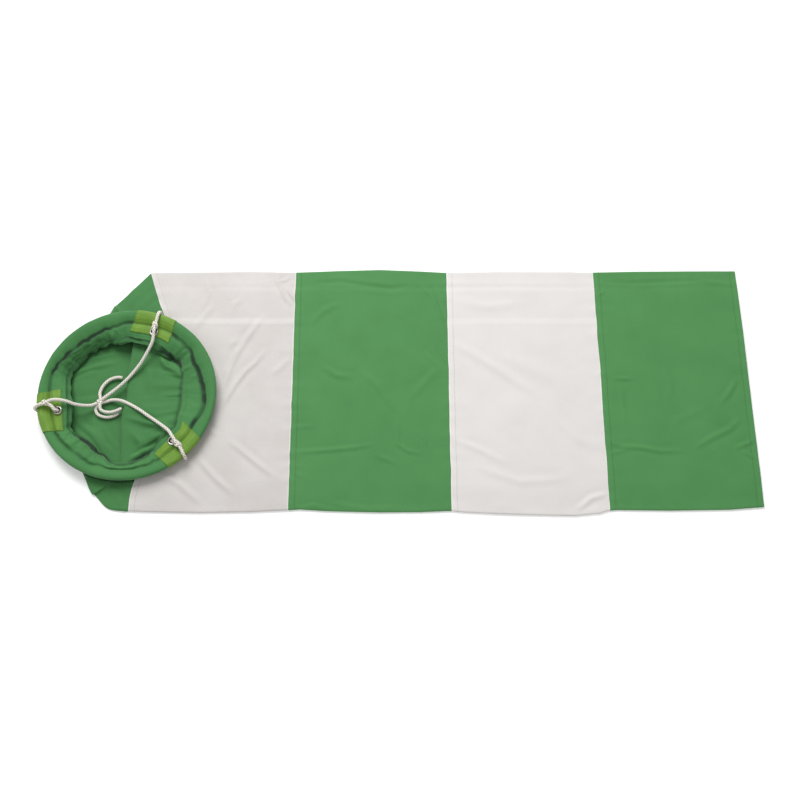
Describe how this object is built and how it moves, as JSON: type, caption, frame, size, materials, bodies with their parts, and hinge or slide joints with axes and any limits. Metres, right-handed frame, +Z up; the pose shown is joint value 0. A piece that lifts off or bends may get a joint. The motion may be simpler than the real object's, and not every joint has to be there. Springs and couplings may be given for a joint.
{
  "type": "windsock",
  "caption": "Striped fabric windsock laid flat, with a stiffened mouth hoop folded face up, reinforcing patches with metal eyelets and a white cord bridle.",
  "frame": {"origin": "on the floor under the middle of the windsock as it lies flat, free cords left out", "axes": "+X from the mouth hoop to the open tail, +Y towards the far side edge, +Z up from the floor"},
  "size_m": [1.2134, 0.436, 0.0462],
  "materials": {
    "green_fabric": "mid green plain-weave polyester",
    "white_fabric": "off-white plain-weave polyester",
    "lime_webbing": "lime green folded tape",
    "white_cord": "braided off-white cord",
    "thread": "sewing thread",
    "eyelet_metal": "nickel-plated pressed metal",
    "ring_rod": "black plastic tube",
    "joint_pin": "natural plastic rod"
  },
  "bodies": {
    "sock": {"panel_1_green": "green_fabric", "panel_2_white": "white_fabric", "panel_3_green": "green_fabric", "seam_stitching_1": "thread", "seam_stitching_2": "thread"},
    "panel_4": {"panel_4_white": "white_fabric", "seam_stitching_3": "thread"},
    "panel_5": {"panel_5_green": "green_fabric", "seam_stitching_4": "thread", "tail_hem_stitching": "thread"},
    "mouth": {"hoop_ring": "ring_rod", "hoop_joint_pin": "joint_pin", "mouth_band": "green_fabric", "mouth_stitching": "thread", "rim_patch_far": "lime_webbing", "rim_patch_left": "lime_webbing", "rim_patch_near": "lime_webbing", "eyelet_far": "eyelet_metal", "eyelet_left": "eyelet_metal", "eyelet_near": "eyelet_metal", "eyelet_washer_far": "eyelet_metal", "eyelet_washer_left": "eyelet_metal", "eyelet_washer_near": "eyelet_metal", "rim_loop_far": "white_cord", "rim_loop_left": "white_cord", "rim_loop_near": "white_cord", "rim_knot_far": "white_cord", "rim_knot_left": "white_cord", "rim_knot_near": "white_cord", "bridle_leg_far": "white_cord", "bridle_leg_left": "white_cord", "bridle_leg_near": "white_cord"},
    "bridle": {"bridle_knot": "white_cord", "cord_end_far": "white_cord", "cord_end_left": "white_cord", "cord_end_near": "white_cord"}
  },
  "joints": [
    {"name": "hoop_lift", "type": "hinge", "parent": "sock", "child": "mouth", "pos_m": [-0.6035, -0.02, 0.021], "axis": [0, -1, 0], "range_deg": [0, 50], "deforming": ["panel_1_green"]},
    {"name": "bridle_pull", "type": "slide", "parent": "mouth", "child": "bridle", "axis": [0, 0, 1], "range_m": [0, 0.05], "deforming": ["bridle_leg_far", "bridle_leg_left", "bridle_leg_near"]},
    {"name": "mid_fold", "type": "hinge", "parent": "sock", "child": "panel_4", "pos_m": [0.09, 0, 0.0093], "axis": [0, -1, 0], "range_deg": [0, 90]},
    {"name": "tail_fold", "type": "hinge", "parent": "panel_4", "child": "panel_5", "pos_m": [0.351, 0, 0.0093], "axis": [0, -1, 0], "range_deg": [0, 175]}
  ]
}
